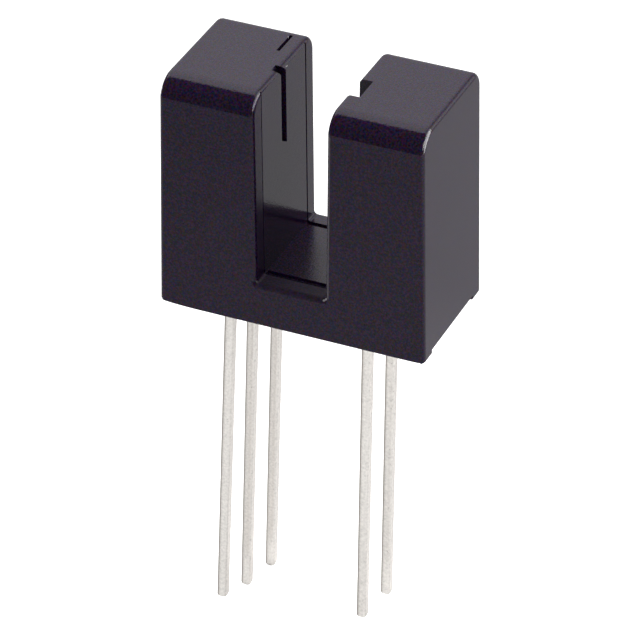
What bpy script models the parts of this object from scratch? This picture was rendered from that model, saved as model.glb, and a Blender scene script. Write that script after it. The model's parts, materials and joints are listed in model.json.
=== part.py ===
"""Slotted optical switch: a U-shaped moulded housing with an infrared emitter in its
right arm and a light sensor with three leads in its left arm.

Metres, +Z up. X runs along the light beam and Y to the back. The origin is the middle of
the seating plane, where the circuit board's face meets the housing's rails, and the empty
"seating_plane" there carries every piece.
"""
import math

import bmesh
import bpy
from mathutils import Matrix, Vector

MM = 0.001

# Housing outside
WIDTH = 12.32
DEPTH = 6.35
HEIGHT = 11.05
SIDE_DRAFT = 0.20
FRONT_FILLET_RADIUS = 1.08
FRONT_CREASE = 12.8
BACK_FILLET_RADIUS = 0.76
EDGE_RADIUS = 0.24
BASE_EDGE_RADIUS = 0.06

# Slot between the arms
SLOT_WIDTH = 3.19
SLOT_FLOOR_HEIGHT = 2.06
SLOT_DRAFT = 0.08
SLOT_CORNER_RADIUS = 0.15
MARGIN_WIDTH = 0.91
BAND_SETBACK = 0.01
WALL_GROOVE_WIDTH = 0.15
FLOOR_GROOVE_WIDTH = 0.3
FLOOR_GROOVE_SHIFT = 0.075
GROOVE_DEPTH = 0.1
FLOOR_GROOVE_DEPTH = 0.14

# Standing rails under the front and back edges
RAIL_HEIGHT = 0.25
RAIL_WIDTH = 0.89
RAIL_END_RISE = 0.03
RAIL_END_LENGTH = 1.4

# Hollow arms
SLOT_WALL = 0.68
OUTER_WALL = 0.76
TOP_WALL = 0.8
MOUTH_HEIGHT = 3.0
RIB_THICKNESS = 0.55

# Apertures and index groove
APERTURE_BOTTOM = 7.2
EMITTER_APERTURE_WIDTH = 1.4
EMITTER_APERTURE_SHIFT = 0.45
SENSOR_APERTURE_WIDTH = 0.5
SENSOR_NOTCH_DEPTH = 0.31
SENSOR_NOTCH_SHIFT = 0.38
SENSOR_NOTCH_HEIGHT = 0.8
INDEX_GROOVE_WIDTH = 0.17
INDEX_GROOVE_LENGTH = 1.42
INDEX_GROOVE_DEPTH = 0.22
INDEX_GROOVE_SETBACK = 0.72
INDEX_GROOVE_REAR_MARGIN = 0.74

# Side-looking packages
PACKAGE_SIDE_COVER = 0.08
PACKAGE_HEIGHT = 4.5
PACKAGE_THICKNESS = 1.25
PACKAGE_TOP_CHAMFER = 0.45
LENS_RADIUS = 0.85
LENS_HEIGHT = 0.36
LENS_ROOT = 0.06
LENS_CLEARANCE = 0.06
FIT_CLEARANCE = 0.04
BEAM_HEIGHT = 8.95

# Leads
LEAD_SIZE = 0.46
LEAD_EDGE = 0.07
LEAD_TIP_CHAMFER = 0.16
LEAD_TIP_STEPS = ((0.0, 0.85), (0.33, 0.35), (1.0, 0.0))
LEAD_PLANE = 3.35
EMITTER_PITCH = 2.54
SENSOR_PITCH = 1.9
BEND_START = 2.7
BEND_END = 1.75
PAD_WIDTH = 1.1
PAD_HEIGHT = 1.3
PAD_SHOULDER = 0.3
POST_GAP = 0.25

# Chips and bond wires
EMITTER_DIE_SIZE = 0.36
SENSOR_DIE_SIZE = 0.9
DIE_THICKNESS = 0.15
DIE_EDGE = 0.03
SENSOR_BOND_REACH = 0.3
WIRE_DIAMETER = 0.04
WIRE_LOOP_HEIGHT = 0.12
SEAT_GAP = 0.01
MOULD_GAP = 0.02

# Potting in the mouths of the arms
POTTING_BOTTOM = 0.32
POTTING_TOP = 1.6
POTTING_GAP = 0.03

# How finely round shapes are divided, how close a point must lie to count as on a plane, how
# far an edge must turn to be rounded or to look sharp, and the share of a section that its
# corners may take
FILLET_STEPS = 10
EDGE_SEGMENTS = 4
CORNER_STEPS = 2
LENS_CORNERS = 32
LENS_RINGS = 6
WIRE_CORNERS = 8
WIRE_STEPS = 16
SAME_PLACE = 0.001
CREASE_ANGLE = 20.0
SHARP_ANGLE = 30.0
CORNER_SHARE = 0.9

# Colours, roughness and metallic value of each material
BLACK_PLASTIC = ((0.012, 0.009, 0.014, 1.0), 0.22, 0.0)
DARK_EPOXY = ((0.010, 0.006, 0.012, 1.0), 0.15, 0.0)
TINNED_METAL = ((0.62, 0.60, 0.58, 1.0), 0.38, 1.0)
GOLD = ((0.90, 0.62, 0.22, 1.0), 0.25, 1.0)
CHIP_GREY = ((0.16, 0.17, 0.22, 1.0), 0.30, 0.6)
BLACK_POTTING = ((0.020, 0.019, 0.022, 1.0), 0.55, 0.0)

# Where each lead leaves the housing and how far it reaches below the seating plane.
# foot is the lead's X at the seating plane, row its place behind the beam in pitches, and
# lean how far its tip swings towards +X.
LEADS = {
    "emitter_lead_anode": {"foot": 2.80, "row": -0.5, "lean": -0.19, "length": 15.60},
    "emitter_lead_cathode": {"foot": 2.86, "row": 0.5, "lean": -0.16, "length": 16.04},
    "sensor_lead_supply": {"foot": -3.35, "row": -1.0, "lean": -0.61, "length": 16.00},
    "sensor_lead_ground": {"foot": -3.15, "row": 0.0, "lean": -0.50, "length": 16.54},
    "sensor_lead_output": {"foot": -2.85, "row": 1.0, "lean": -0.45, "length": 16.64},
}
WIRES = ("emitter_bond_wire", "sensor_bond_wire_supply", "sensor_bond_wire_output")


def clear_scene():
    for item in list(bpy.data.objects):
        bpy.data.objects.remove(item, do_unlink=True)


def make_material(name, look):
    """A Principled material from its colour, roughness and metallic value."""
    colour, roughness, metallic = look
    material = bpy.data.materials.new(name)
    material.use_nodes = True
    shader = material.node_tree.nodes["Principled BSDF"]
    shader.inputs["Base Color"].default_value = colour
    shader.inputs["Roughness"].default_value = roughness
    shader.inputs["Metallic"].default_value = metallic
    material.diffuse_color = colour
    return material


def add_object(name, shape, material, parent, place=(0.0, 0.0, 0.0)):
    """Turn a shape drawn in millimetres into an object placed in metres."""
    bmesh.ops.recalc_face_normals(shape, faces=shape.faces)
    shape.transform(Matrix.Scale(MM, 4))
    mesh = bpy.data.meshes.new(name)
    shape.to_mesh(mesh)
    shape.free()
    mesh.shade_smooth()
    mesh.set_sharp_from_angle(angle=math.radians(SHARP_ANGLE))
    item = bpy.data.objects.new(name, mesh)
    if material is not None:
        mesh.materials.append(material)
    bpy.context.scene.collection.objects.link(item)
    item.parent = parent
    item.location = Vector(place) * MM
    return item


def add_tool(name, shape, parent, place=(0.0, 0.0, 0.0)):
    """A shape that only cuts or joins: shown as wire and left out of renders."""
    tool = add_object(name, shape, None, parent, place)
    tool.hide_render = True
    tool.display_type = "WIRE"
    return tool


def combine(body, tools, operation="DIFFERENCE"):
    for tool in tools:
        step = body.modifiers.new(tool.name, "BOOLEAN")
        step.operation = operation
        step.solver = "EXACT"
        step.object = tool


def block(low, high):
    """A box between two opposite corners."""
    shape = bmesh.new()
    size = Vector(high) - Vector(low)
    middle = (Vector(high) + Vector(low)) / 2.0
    placed = Matrix.Translation(middle) @ Matrix.Diagonal((*size, 1.0))
    bmesh.ops.create_cube(shape, size=1.0, matrix=placed)
    return shape


def extrude_outline(outline, start, end):
    """Close an outline of 3-D points, each given by a function of the travel, into a prism."""
    shape = bmesh.new()
    near = [shape.verts.new(point(start)) for point in outline]
    far = [shape.verts.new(point(end)) for point in outline]
    shape.faces.new(near)
    shape.faces.new(reversed(far))
    for index in range(len(outline)):
        following = (index + 1) % len(outline)
        shape.faces.new((near[index], far[index], far[following], near[following]))
    return shape


def prism_along_y(outline, front, back):
    points = [lambda y, x=x, z=z: (x, y, z) for x, z in outline]
    return extrude_outline(points, front, back)


def prism_along_x(outline, left, right):
    points = [lambda x, y=y, z=z: (x, y, z) for y, z in outline]
    return extrude_outline(points, left, right)


def loft(rings):
    """Skin a stack of rings that all have the same number of points, and cap both ends."""
    shape = bmesh.new()
    rows = [[shape.verts.new(point) for point in ring] for ring in rings]
    shape.faces.new(rows[0])
    shape.faces.new(reversed(rows[-1]))
    for lower, upper in zip(rows, rows[1:]):
        for index in range(len(lower)):
            following = (index + 1) % len(lower)
            shape.faces.new((lower[index], upper[index], upper[following], lower[following]))
    return shape


# Sizes that follow from the named ones

def slot_half_width(height):
    """Half the slot's width at a height: the walls open slightly towards the top."""
    rise = (height - SLOT_FLOOR_HEIGHT) / (HEIGHT - SLOT_FLOOR_HEIGHT)
    return SLOT_WIDTH / 2.0 + SLOT_DRAFT * rise


INNER_WALL = SLOT_WIDTH / 2.0 + SLOT_WALL
PACKAGE_FRONT = INNER_WALL + LENS_CLEARANCE + LENS_HEIGHT
PACKAGE_BACK = PACKAGE_FRONT + PACKAGE_THICKNESS
PACKAGE_HALF_WIDTH = SENSOR_PITCH + LEAD_SIZE / 2.0 + PACKAGE_SIDE_COVER
CAVITY_HALF_DEPTH = PACKAGE_HALF_WIDTH + FIT_CLEARANCE
CAVITY_TOP = HEIGHT - TOP_WALL
PACKAGE_TOP = CAVITY_TOP - FIT_CLEARANCE
PAD_FACE = LEAD_PLANE - LEAD_SIZE / 2.0
DIE_FACE = PAD_FACE - SEAT_GAP - DIE_THICKNESS


def side_of(name):
    """+1 for the emitter's arm and -1 for the sensor's."""
    return 1.0 if name.startswith("emitter") else -1.0


def row_of(name):
    """A lead's distance behind the beam."""
    pitch = EMITTER_PITCH if name.startswith("emitter") else SENSOR_PITCH
    return LEADS[name]["row"] * pitch


# Housing

def cut_off(shape, point, normal):
    """Cut a shape by a plane, drop what lies beyond the plane and close the cut."""
    everything = shape.verts[:] + shape.edges[:] + shape.faces[:]
    result = bmesh.ops.bisect_plane(shape, geom=everything, plane_co=point, plane_no=normal,
                                    clear_outer=True)
    rims = [item for item in result["geom_cut"] if isinstance(item, bmesh.types.BMEdge)]
    bmesh.ops.holes_fill(shape, edges=rims)


def round_edges(shape, edges, radius):
    bmesh.ops.bevel(shape, geom=edges, offset=radius, offset_type="OFFSET",
                    segments=EDGE_SEGMENTS, profile=0.5, affect="EDGES")


def round_top(shape, side, radius, crease):
    """Round the top towards the front or back, chord by chord. The arc runs smoothly into the
    top and meets the upright face at the crease angle."""
    arc = []
    for step in range(FILLET_STEPS + 1):
        angle = math.radians(crease + (90.0 - crease) * step / FILLET_STEPS)
        inward = radius * (math.cos(math.radians(crease)) - math.cos(angle))
        arc.append((side * (DEPTH / 2.0 - inward), HEIGHT - radius + radius * math.sin(angle)))
    for (low_y, low_z), (high_y, high_z) in zip(arc, arc[1:]):
        cut_off(shape, (0.0, low_y, low_z), (0.0, side * (high_z - low_z), side * (low_y - high_y)))


def housing_blank():
    """The U-shaped block before its openings are cut: drafted sides, rails that rise a little
    at their ends, a large rounding along the front and back of each arm's top, and soft edges
    everywhere but round the base."""
    base_half = WIDTH / 2.0
    top_half = base_half - SIDE_DRAFT
    slot_top = slot_half_width(HEIGHT)
    slot_bottom = SLOT_WIDTH / 2.0
    right_half = [
        (base_half - RAIL_END_LENGTH, 0.0), (base_half, RAIL_END_RISE), (top_half, HEIGHT),
        (slot_top, HEIGHT), (slot_bottom, SLOT_FLOOR_HEIGHT),
    ]
    left_half = [(-x, z) for x, z in reversed(right_half)]
    shape = prism_along_y(right_half + left_half, -DEPTH / 2.0, DEPTH / 2.0)
    bmesh.ops.recalc_face_normals(shape, faces=shape.faces)
    round_top(shape, -1.0, FRONT_FILLET_RADIUS, FRONT_CREASE)
    round_top(shape, 1.0, BACK_FILLET_RADIUS, 0.0)

    def is_slot_corner(edge):
        return not edge.is_convex and all(
            abs(vert.co.z - SLOT_FLOOR_HEIGHT) < SAME_PLACE for vert in edge.verts)

    def is_outside_crease(edge):
        return edge.is_convex and edge.calc_face_angle() > math.radians(CREASE_ANGLE)

    def is_base_edge(edge):
        return all(vert.co.z < RAIL_END_RISE + SAME_PLACE for vert in edge.verts)

    round_edges(shape, [edge for edge in shape.edges if is_slot_corner(edge)], SLOT_CORNER_RADIUS)
    round_edges(shape, [edge for edge in shape.edges
                        if is_outside_crease(edge) and not is_base_edge(edge)], EDGE_RADIUS)
    round_edges(shape, [edge for edge in shape.edges
                        if is_outside_crease(edge) and is_base_edge(edge)], BASE_EDGE_RADIUS)
    return shape


def underside_relief():
    """The hollow between the two rails that the housing stands on."""
    reach = WIDTH
    inside = DEPTH / 2.0 - RAIL_WIDTH
    return block((-reach, -inside, -RAIL_HEIGHT), (reach, inside, RAIL_HEIGHT))


def slot_lining(depth, front, back):
    """A stretch of the slot's walls and floor, to be cut away to a depth, with sharp corners."""
    bottom = SLOT_WIDTH / 2.0 + depth
    top = slot_half_width(HEIGHT) + depth
    outline = [
        (-bottom, SLOT_FLOOR_HEIGHT - depth), (bottom, SLOT_FLOOR_HEIGHT - depth),
        (top, HEIGHT + depth), (-top, HEIGHT + depth),
    ]
    return prism_along_y(outline, front, back)


def slot_band():
    """The band between the grooves, set back a hair from the slot's margins."""
    reach = DEPTH / 2.0 - MARGIN_WIDTH
    return slot_lining(BAND_SETBACK, -reach, reach)


def slot_groove(side):
    """A shallow groove that runs down one slot wall, over the floor and up the other."""
    middle = side * (DEPTH / 2.0 - MARGIN_WIDTH)
    half = WALL_GROOVE_WIDTH / 2.0
    return slot_lining(GROOVE_DEPTH, middle - half, middle + half)


def floor_groove(side):
    """The wider stretch of the same groove along the slot's floor."""
    middle = side * (DEPTH / 2.0 - MARGIN_WIDTH - FLOOR_GROOVE_SHIFT)
    reach = SLOT_WIDTH / 2.0 - GROOVE_DEPTH
    deep = SLOT_FLOOR_HEIGHT - FLOOR_GROOVE_DEPTH
    return block((-reach, middle - FLOOR_GROOVE_WIDTH / 2.0, deep),
                 (reach, middle + FLOOR_GROOVE_WIDTH / 2.0, SLOT_FLOOR_HEIGHT + GROOVE_DEPTH))


def arm_cavity(side):
    """An arm's hollow, open below: a mouth, the package's pocket, and a core pocket behind a rib."""
    pocket_back = PACKAGE_BACK + FIT_CLEARANCE
    rib_back = pocket_back + RIB_THICKNESS
    outer = WIDTH / 2.0 - OUTER_WALL
    outline = [
        (INNER_WALL, -RAIL_HEIGHT), (INNER_WALL, CAVITY_TOP),
        (pocket_back, CAVITY_TOP), (pocket_back, MOUTH_HEIGHT),
        (rib_back, MOUTH_HEIGHT), (rib_back, CAVITY_TOP),
        (outer, CAVITY_TOP), (outer, -RAIL_HEIGHT),
    ]
    mirrored = [(side * x, z) for x, z in outline]
    return prism_along_y(mirrored, -CAVITY_HALF_DEPTH, CAVITY_HALF_DEPTH)


def emitter_aperture():
    """The wide aperture, open at the top of the right arm and a little nearer to its front."""
    front = -EMITTER_APERTURE_SHIFT - EMITTER_APERTURE_WIDTH / 2.0
    back = front + EMITTER_APERTURE_WIDTH
    return block((0.0, front, APERTURE_BOTTOM), (INNER_WALL + MOULD_GAP, back, HEIGHT + TOP_WALL))


def sensor_aperture():
    """The narrow slit in the left arm, through the wall to the pocket."""
    half = SENSOR_APERTURE_WIDTH / 2.0
    return block((-INNER_WALL - MOULD_GAP, -half, APERTURE_BOTTOM), (0.0, half, CAVITY_TOP))


def sensor_notch():
    """The slit's shallower upper end, which leans to the front on its way to the top."""
    half = SENSOR_APERTURE_WIDTH / 2.0
    shift = SENSOR_NOTCH_SHIFT
    foot = HEIGHT - SENSOR_NOTCH_HEIGHT
    above = HEIGHT + SENSOR_NOTCH_HEIGHT
    outline = [
        (-half, APERTURE_BOTTOM), (half, APERTURE_BOTTOM), (half, foot),
        (half - 2.0 * shift, above), (-half - 2.0 * shift, above), (-half, foot),
    ]
    return prism_along_x(outline, -slot_half_width(HEIGHT) - SENSOR_NOTCH_DEPTH, 0.0)


def index_groove():
    """The short groove in the left arm's top that marks the sensor's side."""
    middle = -slot_half_width(HEIGHT) - INDEX_GROOVE_SETBACK
    back = DEPTH / 2.0 - INDEX_GROOVE_REAR_MARGIN
    half = INDEX_GROOVE_WIDTH / 2.0
    return block((middle - half, back - INDEX_GROOVE_LENGTH, HEIGHT - INDEX_GROOVE_DEPTH),
                 (middle + half, back, HEIGHT + INDEX_GROOVE_DEPTH))


def build_housing(parent):
    plastic = make_material("black_moulded_plastic", BLACK_PLASTIC)
    housing = add_object("housing", housing_blank(), plastic, parent)
    cuts = [
        ("cut_underside", underside_relief()),
        ("cut_cavity_emitter", arm_cavity(1.0)),
        ("cut_cavity_sensor", arm_cavity(-1.0)),
        ("cut_aperture_emitter", emitter_aperture()),
        ("cut_aperture_sensor", sensor_aperture()),
        ("cut_notch_sensor", sensor_notch()),
        ("cut_slot_band", slot_band()),
        ("cut_groove_front", slot_groove(-1.0)),
        ("cut_groove_back", slot_groove(1.0)),
        ("cut_floor_groove_front", floor_groove(-1.0)),
        ("cut_floor_groove_back", floor_groove(1.0)),
        ("cut_index_groove", index_groove()),
    ]
    combine(housing, [add_tool(name, shape, parent) for name, shape in cuts])


# Leads

def section_ring(x, z, low, high, inset=0.0, grow=0.0):
    """One section of a lead at a height: a rectangle with rounded corners."""
    reach = LEAD_SIZE / 2.0 + grow - inset
    radius = min(LEAD_EDGE, CORNER_SHARE * reach)
    half = reach - radius
    front = low - grow + inset + radius
    back = high + grow - inset - radius
    corners = ((half, back, 0.0), (-half, back, 90.0), (-half, front, 180.0), (half, front, 270.0))
    ring = []
    for centre_x, centre_y, start in corners:
        for step in range(CORNER_STEPS + 1):
            angle = math.radians(start + 90.0 * step / CORNER_STEPS)
            ring.append((x + centre_x + radius * math.cos(angle),
                         centre_y + radius * math.sin(angle), z))
    return ring


def lead_head(name):
    """The widened top of a lead: the chip's pad, or the post that a bond wire lands on."""
    own = row_of(name)
    half = LEAD_SIZE / 2.0
    carries_chip = name in ("emitter_lead_cathode", "sensor_lead_ground")
    reach = PAD_WIDTH / 2.0
    if carries_chip:
        return min(-half, -own - reach), max(half, -own + reach)
    inner_end = math.copysign(reach + POST_GAP, own) - own
    return min(-half, inner_end), max(half, inner_end)


def lead_x(name, height):
    """How far a lead stands from its foot at a height: leaning below the board's face,
    upright through the potting, then jogged over to the package's lead plane."""
    lead = LEADS[name]
    if height < 0.0:
        return -lead["lean"] * height / lead["length"]
    jog = side_of(name) * LEAD_PLANE - lead["foot"]
    rise = (height - BEND_END) / (BEND_START - BEND_END)
    return jog * min(max(rise, 0.0), 1.0)


def lead_shape(name, bottom=None, grow=0.0):
    """A lead from its tip to its head, or a grown copy of its upper part that cuts its seat."""
    half = LEAD_SIZE / 2.0
    low, high = lead_head(name)
    head_bottom = BEAM_HEIGHT - PAD_HEIGHT / 2.0 - grow
    head_top = BEAM_HEIGHT + PAD_HEIGHT / 2.0 + grow
    shoulder = head_bottom - PAD_SHOULDER

    def stem(height, inset=0.0):
        return section_ring(lead_x(name, height), height, -half, half, inset, grow)

    def head(height):
        return section_ring(lead_x(name, height), height, low, high, 0.0, grow)

    if bottom is None:
        tip = -LEADS[name]["length"]
        rings = [stem(tip + rise * LEAD_TIP_CHAMFER, inset * LEAD_TIP_CHAMFER)
                 for rise, inset in LEAD_TIP_STEPS]
        rings.append(stem(0.0))
    else:
        rings = [stem(bottom)]
    rings += [stem(height) for height in (BEND_END, BEND_START) if bottom is None or height > bottom]
    rings += [stem(shoulder), head(head_bottom), head(head_top)]
    return loft(rings)


def lead_place(name):
    return (LEADS[name]["foot"], row_of(name), 0.0)


def build_leads(parent):
    tinned = make_material("tinned_lead", TINNED_METAL)
    for name in LEADS:
        add_object(name, lead_shape(name), tinned, parent, lead_place(name))


# Chips and bond wires

def build_dies(parent):
    silicon = make_material("chip", CHIP_GREY)
    for name, size in (("emitter_die", EMITTER_DIE_SIZE), ("sensor_die", SENSOR_DIE_SIZE)):
        half = size / 2.0
        shape = block((-DIE_THICKNESS / 2.0, -half, -half), (DIE_THICKNESS / 2.0, half, half))
        exposed = -side_of(name)
        rim = [edge for edge in shape.edges
               if all(vert.co.x * exposed > 0.0 for vert in edge.verts)]
        bmesh.ops.bevel(shape, geom=rim, offset=DIE_EDGE, segments=1, profile=0.5, affect="EDGES")
        centre = side_of(name) * (DIE_FACE + DIE_THICKNESS / 2.0)
        add_object(name, shape, silicon, parent, (centre, 0.0, BEAM_HEIGHT))


def wire_shape(side, start, end, radius):
    """A bond wire that rises from the chip at start and comes down on a lead's post at end."""
    rings = []
    for step in range(WIRE_STEPS + 1):
        angle = math.pi * step / WIRE_STEPS
        blend = (1.0 - math.cos(angle)) / 2.0
        base = (DIE_FACE - SEAT_GAP) * (1.0 - blend) + (PAD_FACE - SEAT_GAP) * blend
        x = side * (base - WIRE_LOOP_HEIGHT * math.sin(angle))
        y = start + (end - start) * blend
        drop = (PAD_FACE - DIE_FACE) * math.sin(angle) / 2.0 - WIRE_LOOP_HEIGHT * math.cos(angle)
        travel = Vector((side * drop, (end - start) * math.sin(angle) / 2.0, 0.0)).normalized()
        across = Vector((-travel.y, travel.x, 0.0))
        ring = []
        for corner in range(WIRE_CORNERS):
            turn = 2.0 * math.pi * corner / WIRE_CORNERS
            offset = across * (radius * math.cos(turn))
            ring.append((x + offset.x, y + offset.y, radius * math.sin(turn)))
        rings.append(ring)
    return loft(rings)


def wire_ends(name):
    """Where a bond wire starts on its chip and lands on its post, as distances behind the beam."""
    landing = PAD_WIDTH / 2.0 + POST_GAP + LEAD_SIZE / 2.0
    if name.startswith("emitter"):
        return 0.0, -landing
    back = 1.0 if name.endswith("output") else -1.0
    return back * SENSOR_BOND_REACH, back * landing


def build_wires(parent):
    gold = make_material("gold_wire", GOLD)
    for name in WIRES:
        start, end = wire_ends(name)
        shape = wire_shape(side_of(name), start, end, WIRE_DIAMETER / 2.0)
        add_object(name, shape, gold, parent, (0.0, 0.0, BEAM_HEIGHT))


# Packages

def package_block(side):
    """The moulded body round the lead frame, with its upper corners cut off."""
    half = PACKAGE_HALF_WIDTH
    bottom = PACKAGE_TOP - PACKAGE_HEIGHT
    outline = [
        (-half, bottom), (half, bottom), (half, PACKAGE_TOP - PACKAGE_TOP_CHAMFER),
        (half - PACKAGE_TOP_CHAMFER, PACKAGE_TOP), (-half + PACKAGE_TOP_CHAMFER, PACKAGE_TOP),
        (-half, PACKAGE_TOP - PACKAGE_TOP_CHAMFER),
    ]
    return prism_along_x(outline, side * PACKAGE_FRONT, side * PACKAGE_BACK)


def lens_dome(side):
    """A shallow round lens that stands on the package's face, turned about the beam."""
    sphere = (LENS_RADIUS ** 2 + LENS_HEIGHT ** 2) / (2.0 * LENS_HEIGHT)
    half_angle = math.asin(LENS_RADIUS / sphere)
    profile = []
    for step in range(1, LENS_RINGS + 1):
        angle = half_angle * step / LENS_RINGS
        profile.append((sphere * math.cos(angle) - sphere + LENS_HEIGHT, sphere * math.sin(angle)))
    profile.append((-LENS_ROOT, LENS_RADIUS))
    circles = []
    for forward, radius in profile:
        x = side * (PACKAGE_FRONT - forward)
        turns = [2.0 * math.pi * corner / LENS_CORNERS for corner in range(LENS_CORNERS)]
        circles.append([(x, radius * math.cos(turn), BEAM_HEIGHT + radius * math.sin(turn))
                        for turn in turns])
    return loft(circles)


def die_seat(name, size):
    """The room round a chip inside its package."""
    half = size / 2.0 + MOULD_GAP
    near = side_of(name) * (DIE_FACE - MOULD_GAP)
    far = side_of(name) * PAD_FACE
    return block((min(near, far), -half, BEAM_HEIGHT - half), (max(near, far), half, BEAM_HEIGHT + half))


def build_package(kind, die_size, parent):
    side = side_of(kind)
    epoxy = make_material(kind + "_package_epoxy", DARK_EPOXY)
    package = add_object(kind + "_package", package_block(side), epoxy, parent)
    lens = add_tool("join_" + kind + "_lens", lens_dome(side), parent)
    combine(package, [lens], "UNION")
    seats = [add_tool("cut_" + kind + "_die", die_seat(kind, die_size), parent)]
    for name in LEADS:
        if name.startswith(kind):
            seat = lead_shape(name, bottom=MOUTH_HEIGHT, grow=MOULD_GAP)
            seats.append(add_tool("cut_package_" + name, seat, parent, lead_place(name)))
    for name in WIRES:
        if name.startswith(kind):
            start, end = wire_ends(name)
            seat = wire_shape(side, start, end, WIRE_DIAMETER / 2.0 + MOULD_GAP)
            seats.append(add_tool("cut_" + name, seat, parent, (0.0, 0.0, BEAM_HEIGHT)))
    combine(package, seats)


# Potting

def build_potting(kind, parent):
    """The plug that closes an arm's mouth round its leads."""
    side = side_of(kind)
    black = make_material(kind + "_potting_compound", BLACK_POTTING)
    near = side * (INNER_WALL + POTTING_GAP)
    far = side * (WIDTH / 2.0 - OUTER_WALL - POTTING_GAP)
    depth = CAVITY_HALF_DEPTH - POTTING_GAP
    shape = block((min(near, far), -depth, POTTING_BOTTOM), (max(near, far), depth, POTTING_TOP))
    potting = add_object(kind + "_potting", shape, black, parent)
    holes = []
    for name in LEADS:
        if name.startswith(kind):
            hole = lead_shape(name, bottom=0.0, grow=MOULD_GAP)
            holes.append(add_tool("cut_potting_" + name, hole, parent, lead_place(name)))
    combine(potting, holes)


def main():
    clear_scene()
    seating_plane = bpy.data.objects.new("seating_plane", None)
    bpy.context.scene.collection.objects.link(seating_plane)
    build_housing(seating_plane)
    build_leads(seating_plane)
    build_dies(seating_plane)
    build_wires(seating_plane)
    for kind, die_size in (("emitter", EMITTER_DIE_SIZE), ("sensor", SENSOR_DIE_SIZE)):
        build_package(kind, die_size, seating_plane)
        build_potting(kind, seating_plane)
    bpy.context.view_layer.update()


main()
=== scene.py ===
"""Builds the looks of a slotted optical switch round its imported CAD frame.

The housing and the leads are modelled again in finer detail, in millimetres and then scaled
to metres. The packages, chips, bond wires and potting keep their CAD shapes and get their own
finishes. The stage is a pale floor, a backdrop that only reflections and light see, soft lamps
and the camera.
"""
import json
import math

import bmesh
import bpy
from mathutils import Matrix, Vector

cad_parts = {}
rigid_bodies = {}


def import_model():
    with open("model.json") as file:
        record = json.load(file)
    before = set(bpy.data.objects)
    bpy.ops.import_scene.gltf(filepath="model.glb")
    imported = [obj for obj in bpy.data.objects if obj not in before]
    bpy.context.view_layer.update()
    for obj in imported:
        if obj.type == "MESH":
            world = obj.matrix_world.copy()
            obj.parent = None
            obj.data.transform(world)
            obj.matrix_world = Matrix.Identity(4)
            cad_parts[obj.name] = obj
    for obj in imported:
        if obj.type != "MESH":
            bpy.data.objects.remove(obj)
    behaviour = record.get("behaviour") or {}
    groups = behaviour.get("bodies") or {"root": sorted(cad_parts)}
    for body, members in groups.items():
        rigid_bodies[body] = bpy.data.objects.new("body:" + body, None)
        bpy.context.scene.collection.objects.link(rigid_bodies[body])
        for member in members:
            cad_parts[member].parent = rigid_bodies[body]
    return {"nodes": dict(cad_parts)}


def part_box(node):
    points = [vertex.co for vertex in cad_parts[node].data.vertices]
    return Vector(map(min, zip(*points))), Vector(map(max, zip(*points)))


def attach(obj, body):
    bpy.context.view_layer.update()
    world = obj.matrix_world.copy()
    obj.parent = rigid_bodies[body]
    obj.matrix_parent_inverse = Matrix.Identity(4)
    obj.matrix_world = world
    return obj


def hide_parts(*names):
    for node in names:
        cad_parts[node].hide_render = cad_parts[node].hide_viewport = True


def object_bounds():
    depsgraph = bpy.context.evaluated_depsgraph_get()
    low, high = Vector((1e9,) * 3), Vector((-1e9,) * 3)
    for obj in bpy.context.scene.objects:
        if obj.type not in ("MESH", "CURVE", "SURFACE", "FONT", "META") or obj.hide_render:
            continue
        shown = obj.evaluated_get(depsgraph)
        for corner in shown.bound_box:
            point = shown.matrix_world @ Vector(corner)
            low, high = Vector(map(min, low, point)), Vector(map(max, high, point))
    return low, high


bl_info = {
    "name": "Slotted Optical Switch",
    "version": (1, 0, 0),
    "blender": (4, 5, 0),
    "location": "3D View > Sidebar > Optical Switch",
    "description": "Dresses the parts of a slotted optical switch",
    "category": "Object",
}

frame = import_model()
CAD_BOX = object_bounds()
HOUSING_LOW, HOUSING_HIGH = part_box("housing")

MM = 0.001
FILLET_STEPS = 24
EDGE_STEPS = 9
BASE_EDGE_STEPS = 3
RAIL_END_STEPS = 8
ROUNDED_FROM = math.radians(20.0)
HOUSING_CREASE = math.radians(12.0)

# Millimetres, as in all the shape functions below
TOLERANCE = 0.001
BASE_ZONE = 0.2
BAND_SETBACK = 0.01
RIGHT_RAIL_END = (0.85, 0.04)
LEFT_RAIL_END = (2.3, 0.09)
FLOOR_GROOVES = (-2.08, 2.2)
FLOOR_GROOVE_DEPTH = 0.11
FLOOR_GROOVE_WIDTH = 0.26
CAVITY_DEPTH = 4.5
CAVITY_TOP_WALL = 0.8
OUTER_WALL = 0.76
POCKET_WIDTH = 1.71
RIB = 0.55
MOUTH_HEIGHT = 3.0
SLIT_SLOPE = 0.3
SLIT_STRAIGHT_END = 0.8
SLIT_LEAN_START = 0.35
SLIT_LEAN = 0.76
SLIT_REACH = 0.31
INDEX_FROM_RIM = 0.72
INDEX_FROM_BACK = 0.74
OVERSHOOT = 0.02


# Settings

def length(name, description, millimetres):
    return bpy.props.FloatProperty(
        name=name, description=description, default=millimetres * MM, unit="LENGTH",
        subtype="DISTANCE", precision=5)


def share(name, description, value):
    return bpy.props.FloatProperty(
        name=name, description=description, default=value, min=0.0, max=1.0, subtype="FACTOR")


def amount(name, description, value):
    return bpy.props.FloatProperty(name=name, description=description, default=value, min=0.0)


def degrees(name, description, value):
    return bpy.props.FloatProperty(
        name=name, description=description, default=math.radians(value), subtype="ANGLE",
        unit="ROTATION")


def colour(name, description, value):
    return bpy.props.FloatVectorProperty(
        name=name, description=description, default=value, subtype="COLOR", size=3, min=0.0,
        max=1.0)


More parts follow.
